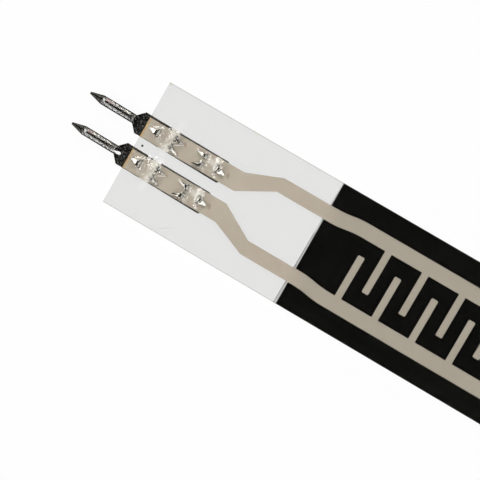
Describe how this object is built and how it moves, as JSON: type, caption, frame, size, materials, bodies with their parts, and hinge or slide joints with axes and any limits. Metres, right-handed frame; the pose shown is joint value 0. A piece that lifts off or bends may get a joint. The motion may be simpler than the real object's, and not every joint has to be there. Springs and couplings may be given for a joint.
{
  "type": "strip force sensing resistor",
  "caption": "Flat strip force sensor: clear film with meshed silver combs over black resistive ink, with crimped solder tabs at a clear tail.",
  "frame": {"origin": "on the back of the strip, under the middle of the sensing area", "axes": "+X along the strip, away from the terminals, +Y across it, +Z from the back to the clear front film"},
  "size_m": [0.0749, 0.0098, 0.0007],
  "materials": {
    "clear_film": "clear polyester film, glossy, with faint scuffs",
    "silver_print": "matt screen-printed silver, slightly warm",
    "resistive_ink": "black screen-printed carbon ink",
    "spacer_adhesive": "clear pressure-sensitive adhesive",
    "base_film": "clear polyester film",
    "rear_adhesive": "milky pressure-sensitive adhesive",
    "liner_paper": "smooth off-white release paper",
    "tinned_metal": "bright tin plate, worn and grained on the rolled pin"
  },
  "bodies": {
    "root": {"conductive_film": "clear_film", "silver_comb_left": "silver_print", "silver_comb_right": "silver_print", "spacer_adhesive": "spacer_adhesive", "resistive_ink": "resistive_ink", "base_film": "base_film", "rear_adhesive": "rear_adhesive", "release_liner": "liner_paper", "terminal_left": "tinned_metal", "terminal_right": "tinned_metal"}
  },
  "joints": []
}
